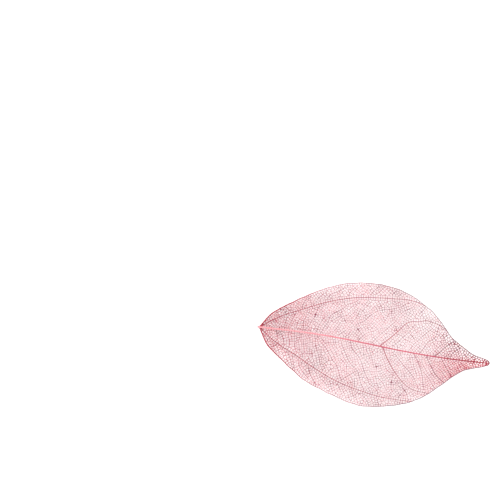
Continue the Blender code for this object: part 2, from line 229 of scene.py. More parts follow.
# The cross veins: (how far they are turned from the rows, how close they start to each other)
CROSS_TURNS = ((0.0, 0.85), (math.pi / 2, 1.3))  # closeness and length in shares of their spacing
SHORTEST_CROSS = 0.5
CROSS_TRIES = 12  # for each square of the spacing
SMALL_SPACING = 0.5  # spacing of the small cross veins, as a share of that of the large ones
BLADE_REACH = 0.3  # nothing of the blade lies further from the midrib, as a share of the length
MOST_STEPS = 200
FIRST_STRAY = 0.25  # a vein strays from the rows by this angle at its start, then at each step it
STRAY_KEPT = 0.93  # keeps this share of the angle and adds up to this much
STRAY_ADDED = 0.18

# Ranks of the veins, from 0 for the finest to 1 for the midrib
EDGE_RANK = 0.8
SIDE_RANK = 0.8
BETWEEN_RANK = 0.45
CROSS_RANK = 0.38
SMALL_RANK = 0.16
KNOT_RANK = 1.3
KNOTS_FROM = 0.25  # the knots sit on cross veins of at least this rank
RANK_WITHIN = (0.18, 0.30)  # a corner of the net has a vein's rank up to the first, none past the
# second, in lengths of a mesh
FADING_SIZE = 3.0 * MM  # a cross vein fades and comes back over about this length
FADING = (0.7, 1.2)  # the share that is left of its rank on average, and how far that swings
UNEVEN_SIZE = 1.3 * MM  # the fine veins thicken and thin over about this length
UNEVEN_SWING = 1.1  # noise seldom reaches 1, so this brings it there
NET_THICKNESS = (0.08 * MM, 0.16 * MM)  # of the finest and the strongest vein of the net
LEAST_OPENING = 0.13 * MM  # a smaller mesh is closed
MOST_FILLED = 0.6  # of the way from a corner to the middle of its mesh
BASE_WIDENING = 0.30  # the widening at the base, as a share of that at the tip
VEINLET_THICKNESS = (0.05 * MM, 0.05 * MM)
VEINLETS_A_MESH = 3
VEINLET_JITTER = 0.07 * MM
VEINLET_ENDS = (0.3, 0.7)  # where on a mesh's side a veinlet may end
FREE_ENDS = 0.6  # the share of the meshes where one veinlet ends before it meets a vein
FREE_LENGTH = 0.6  # the share of its way that it goes
VEINLET_BASE_WIDENING = 0.8  # the widening at the base, as a share of that in the red half


def smooth(stations, place):
    """The value at a place on a smooth curve through (place, value) stations."""
    if place <= stations[0][0]:
        return stations[0][1]
    if place >= stations[-1][0]:
        return stations[-1][1]
    steps = [b[0] - a[0] for a, b in zip(stations, stations[1:])]
    slopes = [(b[1] - a[1]) / step for a, b, step in zip(stations, stations[1:], steps)]
    i = max(k for k in range(len(steps)) if stations[k][0] <= place)

    def tangent(k):
        if k == 0 or k == len(steps):
            return slopes[min(k, len(steps) - 1)]
        before, after = steps[k - 1], steps[k]
        return (slopes[k - 1] * after + slopes[k] * before) / (before + after)

    u = (place - stations[i][0]) / steps[i]
    start, end = stations[i][1], stations[i + 1][1]
    return (
        start * (2 * u**3 - 3 * u**2 + 1)
        + end * (3 * u**2 - 2 * u**3)
        + steps[i] * (tangent(i) * (u**3 - 2 * u**2 + u) + tangent(i + 1) * (u**3 - u**2))
    )


def rising(value, start, end):
    """0 up to the start, then evenly to 1 at the end, which may be the lower one of the two."""
    return min(1.0, max(0.0, (value - start) / (end - start)))


def half_width(share, side):
    """Half width of the blade seen from above. Side is 1 on the left and -1 on the right."""
    width = LENGTH * smooth(LEFT_HALF if side > 0 else RIGHT_HALF, share)
    kink = noise.noise(Vector((share * LENGTH / KINK_SIZE, side, 0)))
    return width + KINK * kink * min(1.0, width / WAVED_FROM)


def fall(share, side):
    return smooth(LEFT_FALL if side > 0 else RIGHT_FALL, share)


def stretch(share, side):
    """How much wider a half is when it is pressed flat."""
    return math.hypot(1.0, fall(share, side))


def side_of(point):
    return 1 if point.y >= 0 else -1


def arched(flat):
    """The point of the dried leaf for one of the flattened blade, before the halves settle."""
    share = flat.x / LENGTH
    side = side_of(flat)
    width = max(half_width(share, side), LEAST_HALF)
    across = flat.y / stretch(share, side)
    reach = min(abs(across) / width, FURTHEST)
    drop = fall(share, side) * width * ((1 - FALL_CURVE) * reach + FALL_CURVE * reach**2)
    wave = WAVE_HEIGHT * math.sin(math.pi * WAVES * (share - TOUCH[side])) ** 2 * reach**2
    wave *= min(1.0, width / WAVED_FROM)
    bow = MIDRIB_BOW * math.sin(2 * math.pi * share) * max(0.0, 1 - reach**2)
    crinkle = CRINKLE_HEIGHT * noise.noise(Vector((flat.x, flat.y, 0)) / CRINKLE_SIZE)
    crinkle *= rising(reach, 0, CRINKLED_FROM)
    height = smooth(RIDGE_HEIGHT, share) - drop + wave + crinkle
    return Vector((flat.x, across + bow, height))


def low_point(side):
    """Place across and height of the underside of the margin at its low point."""
    lows = []
    for share in LOW_SHARES:
        low = arched(Vector((share * LENGTH, side * flat_half(share * LENGTH, side))))
        lows.append((low.z - smooth(EDGE_RADIUS, share), low.y))
    height, across = min(lows)
    return across, height


def flat_half(x, side):
    return half_width(x / LENGTH, side) * stretch(x / LENGTH, side)


LOW = {side: low_point(side) for side in (1, -1)}


def bent(flat):
    """The point of the dried leaf, in the part's frame, for a point of the flattened blade."""
    point = arched(flat)
    reach, height = LOW[side_of(flat)]
    point.z -= height * (point.y / reach) ** 2
    return point + BASE


def flat_line(stations, side, samples=120):
    """A vein given by its stations, as points of the flattened blade."""
    first, last = stations[0][0], stations[-1][0]
    line = []
    for i in range(samples + 1):
        share = first + (last - first) * i / samples
        distance = side * smooth(stations, share) * LENGTH
        line.append(Vector((share * LENGTH, distance * stretch(share, side))))
    return line


def flat_margin(side, samples=1200):
    return [
        Vector((LENGTH * i / samples, side * flat_half(LENGTH * i / samples, side)))
        for i in range(samples + 1)
    ]


def set_in(flat, distance):
    """A point of the margin moved towards the midrib, and clear of the tip."""
    across = math.copysign(max(0.0, abs(flat.y) - distance), flat.y)
    return Vector((min(flat.x, LENGTH - distance), across))


def evenly(points, pitch):
    """Points at even steps of about `pitch` along a line, from its first point to its last."""
    lengths = [0.0]
    for a, b in zip(points, points[1:]):
        lengths.append(lengths[-1] + (b - a).length)
    count = max(2, round(lengths[-1] / pitch))
    made = []
    k = 0
    for i in range(count + 1):
        goal = lengths[-1] * i / count
        while k < len(points) - 2 and lengths[k + 1] < goal:
            k += 1
        span = lengths[k + 1] - lengths[k]
        made.append(points[k].lerp(points[k + 1], (goal - lengths[k]) / span if span else 0.0))
    return made


def row_at(row, y):
    """Where a row that leaves the midrib at `row` lies, at a distance y from the midrib."""
    start = row + SPREAD * max(0.0, row - SPREAD_FROM) ** 2
    grown = rising(start / LENGTH, 0, FULL_LEAN_AT)
    outer = OUTER_LEAN_AT_BASE + (OUTER_LEAN - OUTER_LEAN_AT_BASE) * grown
    bend = (outer - MIDRIB_LEAN) * BEND_WITHIN * (1 - math.exp(-abs(y) / BEND_WITHIN))
    spot = Vector((start, y, 0))
    wander = WANDER * noise.noise(spot / WANDER_SIZE)
    wander += RIPPLE * rising(start / LENGTH, RIPPLE_END, 0) * noise.noise(spot / RIPPLE_SIZE)
    opened = start * (1 + OPENING * abs(y))
    return opened + outer * abs(y) - bend + wander * rising(abs(y), 0, WANDER_FROM)


def row_of(x, y):
    """The row that passes through a point of the flattened blade."""
    row = x - GUESSED_LEAN * abs(y)
    for _ in range(ROW_STEPS):
        row += MENDED * (x - row_at(row, y))
    return row


def heading_of(row, y):
    """The direction in which a row runs at a distance y from the midrib, away from the midrib."""
    out = math.copysign(HEADING_STEP, y)
    return Vector((row_at(row, y + out) - row_at(row, y), out)).normalized()


class Spots:
    """Points that keep their distance from each other."""

    def __init__(self, closest):
        self.closest = closest
        self.grid = defaultdict(list)

    def cell_of(self, point):
        return math.floor(point.x / self.closest), math.floor(point.y / self.closest)

    def add(self, point):
        self.grid[self.cell_of(point)].append(point)

    def has_room(self, point):
        column, row = self.cell_of(point)
        return all(
            (point - other).length > self.closest
            for i in (-1, 0, 1)
            for j in (-1, 0, 1)
            for other in self.grid.get((column + i, row + j), ())
        )

    def points(self):
        return [point for points in self.grid.values() for point in points]


class Layout:
    """The middles of the net's meshes, on the flattened blade.

    A pair of middles, one on each side of a vein, puts a wall of the net on the vein. In the same
    way each one near the margin has a twin outside, mirrored over the margin.
    """

    def __init__(self, pitch):
        self.pitch = pitch
        self.mesh = MESH_ALONG_ROW * pitch
        self.cell = VEIN_CELL * self.mesh
        self.rows = range(math.floor(FIRST_ROW * LENGTH / pitch), math.ceil(LENGTH / pitch))
        self.fixed = Spots(CLOSEST_FIXED * self.mesh)
        self.walls = []  # (point of a vein, its rank)
        self.margins = {side: flat_margin(side) for side in (1, -1)}
        self.margin_points = self.margins[1] + self.margins[-1]
        self.margin_tree = tree_of(self.margin_points)

    def row_step(self, width):
        """How far a row lies from the midrib or the margin, where a half is that wide."""
        narrow = width < NARROW_HALF * self.mesh
        return width / 2 if narrow else min(self.mesh / 2, width / 4)

    def nearest_margin(self, point):
        _, i, _ = self.margin_tree.find((point.x, point.y, 0))
        return self.margin_points[i]

    def depth(self, point):
        """How far in from the margin a point lies, or less than nothing outside."""
        if not 0 < point.x < LENGTH or abs(point.y) > flat_half(point.x, side_of(point)):
            return -1.0
        return (self.nearest_margin(point) - point).length

    def add_walls(self, line, rank):
        self.walls += [(point, rank) for point in evenly(line, self.mesh / STEPS_A_MESH)]

    def add_midrib(self):
        for row in self.rows:
            x = row_at(row * self.pitch, 0.0)
            if 0 < x < LENGTH:
                for side in (1, -1):
                    self.fixed.add(Vector((x, side * self.row_step(flat_half(x, side)))))
        self.add_walls([Vector((0.0, 0.0)), Vector((LENGTH, 0.0))], 1.0)

    def add_vein(self, line, rank):
        points = evenly(line, self.mesh)
        for a, b in zip(points, points[1:]):
            across = Vector((a.y - b.y, b.x - a.x)).normalized() * 0.5 * self.mesh
            pair = ((a + b) / 2 + across, (a + b) / 2 - across)
            least = PAIR_DEPTH * self.mesh
            if all(self.fixed.has_room(p) and self.depth(p) > least for p in pair):
                for point in pair:
                    self.fixed.add(point)
        self.add_walls(line, rank)

    def add_margin(self, side):
        line = evenly(self.margins[side], self.mesh / STEPS_A_MESH)
        for k in range(STEPS_A_MESH // 2, len(line) - 1, STEPS_A_MESH):
            along = (line[k + 1] - line[k - 1]).normalized()
            inward = Vector((along.y, -along.x)) * side * self.row_step(abs(line[k].y))
            if self.fixed.has_room(line[k] + inward):
                self.fixed.add(line[k] + inward)
        self.add_walls(line, EDGE_RANK)

    def add_main_veins(self):
        self.add_midrib()
        for veins, rank in ((SIDE_VEINS, SIDE_RANK), (BETWEEN_VEINS, BETWEEN_RANK)):
            for side in (1, -1):
                for stations in veins[side]:
                    self.add_vein(flat_line(stations, side), rank)
        for side in (1, -1):
            self.add_margin(side)

    def add_cross_veins(self, rng, spacing, rank):
        """Veins along the rows and others across them, each grown until it meets a vein."""
        taken = {self.cell_of(point) for point, _ in self.walls}
        for turn, closeness in CROSS_TURNS:
            grown = Spots(closeness * spacing)
            for _ in range(round(CROSS_TRIES * LENGTH**2 / spacing**2)):
                y = rng.uniform(-BLADE_REACH, BLADE_REACH) * LENGTH
                start = Vector((row_at((rng.choice(self.rows) + 0.5) * self.pitch, y), y))
                if not grown.has_room(start) or self.depth(start) < START_DEPTH * self.mesh:
                    continue
                ways = [self.grow(start, turn + back, taken, rng) for back in (0.0, math.pi)]
                line = ways[1][:0:-1] + ways[0]
                if len(line) * self.cell / 2 < SHORTEST_CROSS * spacing:
                    continue
                for point in line:
                    grown.add(point)
                taken |= {self.cell_of(point) for point in line}
                self.add_vein(line, rank)

    def cell_of(self, point):
        return round(point.x / self.cell), round(point.y / self.cell)

    def grow(self, start, turned, taken, rng):
        """A wandering line to the first vein that it meets, turned that far from the rows."""
        line = [start]
        stray = rng.uniform(-FIRST_STRAY, FIRST_STRAY)
        while len(line) < MOST_STEPS and self.depth(line[-1]) > 0:
            stray = STRAY_KEPT * stray + rng.uniform(-STRAY_ADDED, STRAY_ADDED)
            here = line[-1]
            side_y = start.y if abs(here.y) < self.cell else here.y
            heading = heading_of(row_of(here.x, here.y), side_y)
            line.append(here + Matrix.Rotation(turned + stray, 2) @ heading * self.cell / 2)
            if len(line) > 3 and self.cell_of(line[-1]) in taken:
                break
        return line

    def fill(self, rng):
        """Middles in rows that run out from the midrib, wherever the veins leave room."""
        free = []
        reach = max(abs(point.y) for point in self.margin_points)
        for row in self.rows:
            loose = 1 - STEADIER_AT_TIP * max(0.0, row * self.pitch / LENGTH)
            for side in (1, -1):
                y = side * rng.uniform(*FIRST_MESH) * self.mesh
                while abs(y) < reach:
                    strayed = row + rng.uniform(-ROW_JITTER, ROW_JITTER) * loose
                    point = Vector((row_at(strayed * self.pitch, y), y))
                    roomy = self.fixed.has_room(point)
                    if roomy and self.depth(point) > FREE_DEPTH * self.mesh:
                        free.append(point)
                    step = self.mesh * (1 + OPENING * abs(y))
                    step *= 1 + rng.uniform(-MESH_JITTER, MESH_JITTER) * loose
                    y += step * heading_of(row * self.pitch, y).y
        return free

    def twins(self, middles):
        """Their mirror images over the margin, and over the two ends."""
        near = [point for point in middles if self.depth(point) < TWIN_DEPTH * self.mesh]
        made = [2 * self.nearest_margin(point) - point for point in near]
        made += [Vector((-point.x, point.y)) for point in near if point.x < self.mesh]
        made += [Vector((2 * LENGTH - p.x, p.y)) for p in near if p.x > LENGTH - self.mesh]
        return made

    def meshes(self, rng):
        """The net's meshes, each a list of its corners in order."""
        fixed = self.fixed.points()
        free = self.fill(rng)
        middles = free + fixed
        free = [middle_of(c) for c in cells_round(middles + self.twins(middles), len(free))]
        middles = free + fixed
        meshes = cells_round(middles + self.twins(middles), len(middles))
        return [[self.kept_inside(corner) for corner in corners] for corners in meshes]

    def kept_inside(self, point):
        return point if self.depth(point) >= 0 else self.nearest_margin(point)


def tree_of(points):
    tree = kdtree.KDTree(len(points))
    for i, point in enumerate(points):
        tree.insert((point.x, point.y, 0), i)
    tree.balance()
    return tree


def cells_round(middles, count):
    """The cells round the first `count` middles, each a list of its corners in order."""
    corners = [[] for _ in middles]
    points, _, triangles, origins, _, _ = delaunay_2d_cdt(middles, [], [], 0, 1e-9)
    for triangle in triangles:
        a, b, c = (points[i] for i in triangle)
        ab, ac = b - a, c - a
        twice_area = 2 * ab.cross(ac)
        if abs(twice_area) < 1e-14:
            continue
        corner = a + Vector((
            (ac.y * ab.length_squared - ab.y * ac.length_squared) / twice_area,
            (ab.x * ac.length_squared - ac.x * ab.length_squared) / twice_area,
        ))
        for i in triangle:
            for origin in origins[i]:
                corners[origin].append(corner)
    for middle, around in zip(middles[:count], corners):
        around.sort(key=lambda p: math.atan2(p.y - middle.y, p.x - middle.x))
    return corners[:count]


def middle_of(corners):
    return sum(corners, Vector((0.0, 0.0))) / len(corners)


def rank_at(tree, walls, mesh, point):
    """How strong the vein is at a corner of the net: 0 is the finest."""
    _, i, distance = tree.find((point.x, point.y, 0))
    rank = walls[i][1] * (1 - rising(distance / mesh, *RANK_WITHIN))
    if rank > BETWEEN_RANK:
        return rank
    left, swing = FADING
    return rank * min(1.0, max(0.0, left + swing * noise.noise(point / FADING_SIZE)))


def opening_radius(face):
    """Distance from the middle of a mesh of the net to its nearest side."""
    middle = face.calc_center_median()
    return min(
        ((edge.verts[1].co - edge.verts[0].co).cross(middle - edge.verts[0].co)).length
        / max(edge.calc_length(), 1e-9)
        for edge in face.edges
    )


def net_sheet(layout, sizes, rng):
    """The net as a sheet: every mesh has its opening, and `rank` says how strong each vein is."""
    sheet = bmesh.new()
    rank = sheet.verts.layers.float.new("rank")
    for corners in layout.meshes(rng):
        sheet.faces.new([sheet.verts.new((p.x, p.y, 0)) for p in corners])
    bmesh.ops.remove_doubles(sheet, verts=sheet.verts, dist=JOINED_WITHIN * layout.mesh)
    bmesh.ops.recalc_face_normals(sheet, faces=sheet.faces)
    if sheet.faces[:][0].normal.z < 0:
        bmesh.ops.reverse_faces(sheet, faces=sheet.faces)
    walls = tree_of([point for point, _ in layout.walls])
    for vert in sheet.verts:
        vert[rank] = rank_at(walls, layout.walls, layout.mesh, vert.co)
    on_cross_veins = [vert for vert in sheet.verts if KNOTS_FROM < vert[rank] <= CROSS_RANK]
    for vert in rng.sample(on_cross_veins, sizes.knots):
        vert[rank] = KNOT_RANK

    open_meshes = [face for face in sheet.faces if opening_radius(face) > LEAST_OPENING]
    outer = {face: [(v.co.copy(), v[rank]) for v in face.verts] for face in open_meshes}
    meshes = [[corner.xy for corner, _ in around] for around in outer.values()]
    bmesh.ops.inset_individual(sheet, faces=open_meshes, thickness=0.002 * MM)
    for face in open_meshes:
        middle = face.calc_center_median()
        radius = opening_radius(face)
        for vert, (corner, strength) in zip(face.verts, outer[face]):
            swing = UNEVEN_SWING * sizes.unevenness * noise.noise(corner / UNEVEN_SIZE)
            half = 0.5 * vein_width(sizes, strength, corner.x / LENGTH) * (1 + swing)
            vert.co = corner.lerp(middle, min(MOST_FILLED, half / radius))
            vert[rank] = 0.0
    bmesh.ops.delete(sheet, geom=open_meshes, context="FACES_ONLY")
    return sheet, meshes


def veinlet_sheet(meshes, sizes, rng):
    """The finest veinlets: in each mesh a few of them meet near its middle, and one may end free."""
    sheet = bmesh.new()
    for corners in meshes:
        count = len(corners)
        middle = middle_of(corners)
        middle += Vector((rng.uniform(-1, 1), rng.uniform(-1, 1))) * VEINLET_JITTER
        first = rng.randrange(count)
        ends = []
        for k in range(min(VEINLETS_A_MESH, count)):
            i = (first + k * count // VEINLETS_A_MESH) % count
            ends.append(corners[i].lerp(corners[(i + 1) % count], rng.uniform(*VEINLET_ENDS)))
        if rng.random() < FREE_ENDS:
            ends[0] = middle.lerp(ends[0], FREE_LENGTH)
        at_base = VEINLET_BASE_WIDENING * base_share(middle.x / LENGTH)
        widening = 1 + sizes.veinlet_widening * max(at_base, red_share(middle))
        add_star(sheet, middle, ends, widening * sizes.veinlet_width / 2)
    return sheet


def add_star(sheet, middle, ends, half):
    """Strips from a middle to each of some ends. Half is half of a strip's width."""
    turns = sorted((math.atan2(end.y - middle.y, end.x - middle.x), *end) for end in ends)
    notches = []
    tips = []
    for (angle, *end), (after, *_) in zip(turns, turns[1:] + [(turns[0][0] + 2 * math.pi,)]):
        halfway = (angle + after) / 2
        # 0.4 keeps the notch near the middle where two strips lie close together
        reach = half / max(0.4, math.sin(halfway - angle))
        notch = middle + reach * Vector((math.cos(halfway), math.sin(halfway)))
        notches.append(sheet.verts.new((*notch, 0)))
        across = half * Vector((-math.sin(angle), math.cos(angle)))
        tips.append([sheet.verts.new((*(Vector(end) + way * across), 0)) for way in (-1, 1)])
    for k, (right, left) in enumerate(tips):
        sheet.faces.new((notches[k - 1], right, left, notches[k]))
    if len(notches) > 2:
        sheet.faces.new(notches)


def thickened(name, sheet, thickness, strength=None):
    """A sheet of the flattened blade, bent to the dried leaf and thickened.

    Strength, a layer of the sheet, says how far each place is on its way from the first thickness
    to the second.
    """
    ranks = []
    for i, vert in enumerate(sheet.verts):
        vert.co = bent(vert.co)
        vert.index = i
        ranks.append(min(1.0, vert[strength]) if strength else 1.0)
    mesh = bpy.data.meshes.new(name)
    sheet.to_mesh(mesh)
    sheet.free()
    piece = link_new(name, mesh)
    group = piece.vertex_groups.new(name="strength")
    for i, value in enumerate(ranks):
        group.add([i], value, "REPLACE")
    solid = piece.modifiers.new("Thickness", "SOLIDIFY")
    solid.thickness = thickness[1]
    solid.offset = 0
    solid.vertex_group = group.name
    solid.thickness_vertex_group = thickness[0] / thickness[1]
    select_only(piece)
    bpy.ops.object.modifier_apply(modifier=solid.name)
    piece.vertex_groups.clear()
    return piece


def vein_width(sizes, rank, share):
    """Width of a vein of the net: the stronger, the wider, and wider towards the tip."""
    cross = (sizes.cross_width - sizes.fine_width) * min(1.0, rank / CROSS_RANK)
    knot = sizes.knot_width * max(0.0, rank - 1) / (KNOT_RANK - 1)
    ends = max(tip_share(share), BASE_WIDENING * base_share(share))
    return (sizes.fine_width + cross + knot) * (1 + sizes.tip_widening * ends)


def tip_share(share):
    """0 over most of the blade, rising to 1 near the tip and higher over its last few millimetres."""
    return rising(share, 0.72, 0.97) + max(0.0, (share - 0.965) / 0.022)


def base_share(share):
    """1 at the base, falling to 0 about halfway along."""
    return rising(share, 0.48, 0.08)


def red_share(point):
    """0, but rising to 1 past the middle of the right half, which took more dye."""
    return rising(point.x / LENGTH, 0.62, 0.80) * rising(point.y, 0.8 * MM, -3.2 * MM)


def link_new(name, data):
    made = bpy.data.objects.new(name, data)
    bpy.context.scene.collection.objects.link(made)
    return made


def select_only(piece):
    bpy.ops.object.select_all(action="DESELECT")
    piece.select_set(True)
    bpy.context.view_layer.objects.active = piece


def finish_piece(piece, material):
    """Gives the piece its material and its place in the part."""
    piece.data.materials.clear()
    piece.data.materials.append(material)
    select_only(piece)
    bpy.ops.object.shade_smooth()
    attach(piece, "root")
    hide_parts(NODE)


def tube_piece(name, veins):
    """One mesh of closed tapered tubes. Each vein is a list of (point, radius)."""
    curve = bpy.data.curves.new(name, "CURVE")
    curve.dimensions = "3D"
    curve.bevel_depth = 1.0
    curve.bevel_resolution = (TUBE_SIDES - 4) // 2
    curve.use_fill_caps = True
    for vein in veins:
        spline = curve.splines.new("POLY")
        spline.points.add(len(vein) - 1)
        for place, (point, radius) in zip(spline.points, vein):
            place.co = (*point, 1.0)
            place.radius = radius
    piece = link_new(name, curve)
    select_only(piece)
    bpy.ops.object.convert(target="MESH")
    bpy.ops.object.mode_set(mode="EDIT")
    bpy.ops.mesh.select_all(action="SELECT")
    bpy.ops.mesh.remove_doubles(threshold=0.0005 * MM)  # joins the caps to the tubes
    bpy.ops.mesh.normals_make_consistent(inside=False)
    bpy.ops.object.mode_set(mode="OBJECT")
    return piece


def vein_run(stations, side, start_radius, end_radius):
    """(point, radius) along a vein given by its stations, thinning towards its end."""
    flats = evenly(flat_line(stations, side), VEIN_STEP)
    thinning = (end_radius - start_radius) / (len(flats) - 1)
    return [(bent(flat), start_radius + thinning * i) for i, flat in enumerate(flats)]


def linear(colour):
    """A linear colour from an sRGB hex value such as C8102E."""
    parts = [int(colour[i : i + 2], 16) / 255 for i in (0, 2, 4)]
    return [c / 12.92 if c <= 0.04045 else ((c + 0.055) / 1.055) ** 2.4 for c in parts] + [1.0]


def add_node(tree, kind, inputs=None, **settings):
    """Adds a shader node. Inputs are values, or sockets to link from."""
    made = tree.nodes.new(kind)
    for name, value in settings.items():
        setattr(made, name, value)
    for name, value in (inputs or {}).items():
        if isinstance(value, bpy.types.NodeSocket):
            tree.links.new(value, made.inputs[name])
        else:
            made.inputs[name].default_value = value
    return made


def layered(tree, colour, *layers):
    """Dye over dye: each (mask, colour) covers what lies below it as far as its mask says."""
    for mask, later in layers:
        mix = add_node(tree, "ShaderNodeMix", {0: mask, 6: colour, 7: later}, data_type="RGBA")
        colour = mix.outputs[2]
    return colour


def ramp(tree, axis, start, end, reached=1.0):
    """0 up to a place on an axis of the part's frame, and `reached` from another place on."""
    coords = add_node(tree, "ShaderNodeTexCoord").outputs["Object"]
    place = add_node(tree, "ShaderNodeSeparateXYZ", {0: coords}).outputs[axis]
    made = add_node(tree, "ShaderNodeMapRange",
                    {"Value": place, "From Min": start, "From Max": end, "To Max": reached},
                    interpolation_type="SMOOTHSTEP")
    return made.outputs["Result"]


def grains(tree, size, detail=2.0, stretched=1.0, between=None, most=1.0):
    """Noise whose grains measure `size`, drawn out along the leaf if stretched.

    It rises from 0 to `most` between two values of the noise, or is left as it comes.
    """
    coords = add_node(tree, "ShaderNodeTexCoord").outputs["Object"]
    placed = add_node(tree, "ShaderNodeMapping", {0: coords, "Scale": (1 / stretched, 1, 1)})
    made = add_node(tree, "ShaderNodeTexNoise",
                    {"Vector": placed.outputs[0], "Scale": 1 / size, "Detail": detail})
    if not between:
        return made.outputs[0]
    low, high = between
    return add_node(tree, "ShaderNodeMapRange",
                    {"Value": made.outputs[0], "From Min": low, "From Max": high,
                     "To Max": most}).outputs["Result"]


def new_material(name):
    material = bpy.data.materials.new(name)
    material.use_nodes = True
    return material, material.node_tree, material.node_tree.nodes["Principled BSDF"]


def new_cellulose(name):
    """The matt stuff of plant fibres, with their refraction."""
    material, tree, shader = new_material(name)
    shader.inputs["Roughness"].default_value = 0.7
    shader.inputs["IOR"].default_value = 1.47
    return material, tree, shader


def let_light_through(tree, shader, colour, share):
    """Lets a share of the light through, as thin fibre does, tinted by the dye."""
    through = add_node(tree, "ShaderNodeBsdfTranslucent", {"Color": colour})
    both = add_node(tree, "ShaderNodeMixShader",
                    {0: share, 1: shader.outputs[0], 2: through.outputs[0]})
    tree.links.new(both.outputs[0], tree.nodes["Material Output"].inputs["Surface"])


def dyed_net_material(dye):
    """Retted vein cellulose, dyed red: matt, and thin enough that it glows and tints the paper."""
    material, tree, shader = new_cellulose("dyed_vein_cellulose")
    # the upper half, and the lower one up to its dense end, took less dye past the middle
    dull_side = add_node(tree, "ShaderNodeMath", {0: ramp(tree, "Y", -6 * MM, 8 * MM),
                                                  1: ramp(tree, "X", 30 * MM, 22 * MM)},
                         operation="MAXIMUM").outputs[0]
    dull = add_node(tree, "ShaderNodeMath",
                    {0: dull_side, 1: ramp(tree, "X", -10 * MM, 14 * MM, 0.3)},
                    operation="MULTIPLY").outputs[0]
    red_side = add_node(tree, "ShaderNodeMath", {0: ramp(tree, "Y", 2 * MM, -4 * MM),
                                                 1: ramp(tree, "X", 10 * MM, 26 * MM, 0.8)},
                        operation="MULTIPLY").outputs[0]
    tip = layered(tree, dye.tip_red, (ramp(tree, "Y", -2 * MM, 4 * MM), dye.tip))
    # the rank is 0 on the fine veins, at most about 0.45 on the cross veins and 1.3 on a knot
    rank = add_node(tree, "ShaderNodeAttribute", attribute_name="rank").outputs["Fac"]
    on_cross = add_node(tree, "ShaderNodeMapRange", {"Value": rank, "From Max": 0.5})
    on_knot = add_node(tree, "ShaderNodeMapRange",
                       {"Value": rank, "From Min": 1.0, "From Max": 1.2})
    net = layered(
        tree, dye.net,
        (grains(tree, 7 * MM, detail=3.0, between=(0.35, 0.65)), dye.net_pale),
        (ramp(tree, "X", -22 * MM, -38 * MM, 0.5), dye.tip_red),  # red again at the base
        (dull, dye.residue),
        (grains(tree, 0.8 * MM, between=(0.50, 0.66), most=0.7), dye.residue),  # specks of tissue
        (red_side, dye.red_half),
        (on_cross.outputs["Result"], dye.cross),
        (on_knot.outputs["Result"], dye.residue),
        (ramp(tree, "X", 24 * MM, 42 * MM), tip),
    )
    tree.links.new(net, shader.inputs["Base Color"])
    # real fibres are about 0.02 mm thick: drawn coarser, so that close views show them
    fibres = grains(tree, 0.12 * MM, detail=3.0)
    bump = add_node(tree, "ShaderNodeBump",
                    {"Height": fibres, "Distance": 0.03 * MM, "Strength": 0.5})
    tree.links.new(bump.outputs[0], shader.inputs["Normal"])
    let_light_through(tree, shader, net, dye.net_glow)
    return material


def dyed_veinlet_material(dye):
    """Single vessels of a hair's width: they hold little dye, so light passes through them pink."""
    material, tree, shader = new_cellulose("dyed_veinlet_cellulose")
    colour = layered(
        tree, dye.veinlet,
        (grains(tree, 5 * MM, detail=3.0, between=(0.35, 0.65)), dye.net_pale),
        (ramp(tree, "X", 18 * MM, 36 * MM), dye.veinlet),  # none of it pale at the tip
    )
    tree.links.new(colour, shader.inputs["Base Color"])
    let_light_through(tree, shader, colour, dye.veinlet_glow)
    return material


def dyed_vein_material(name, dye, first, *changes):
    """A strong vein: bundled fibres along its length, with the dye gathered between them.

    Changes are (start, end, colour): the vein takes the colour between these places along x.
    """
    material, tree, shader = new_cellulose(name)
    # the bundles are about 0.05 mm thick and drawn three times as coarse, so that they show
    bundles = {"size": 0.16 * MM, "detail": 3.0, "stretched": 9.0}
    colour = layered(
        tree, first,
        *((ramp(tree, "X", start, end), later) for start, end, later in changes),
        (grains(tree, **bundles, between=(0.45, 0.75), most=0.5), dye.tip),
    )
    tree.links.new(colour, shader.inputs["Base Color"])
    streaks = grains(tree, **bundles)
    roughness = add_node(tree, "ShaderNodeMapRange",
                         {"Value": streaks, "From Min": 0.3, "From Max": 0.7,
                          "To Min": 0.45, "To Max": 0.7}).outputs["Result"]
    tree.links.new(roughness, shader.inputs["Roughness"])
    bump = add_node(tree, "ShaderNodeBump",
                    {"Height": streaks, "Distance": 0.05 * MM, "Strength": 0.6})
    tree.links.new(bump.outputs[0], shader.inputs["Normal"])
    let_light_through(tree, shader, colour, dye.vein_glow)
    return material


# Settings that the properties below share
WIDTH = {"unit": "LENGTH", "precision": 5}
COLOUR = {"subtype": "COLOR", "size": 4, "min": 0, "max": 1}
GLOW = {"subtype": "FACTOR", "min": 0, "max": 1}


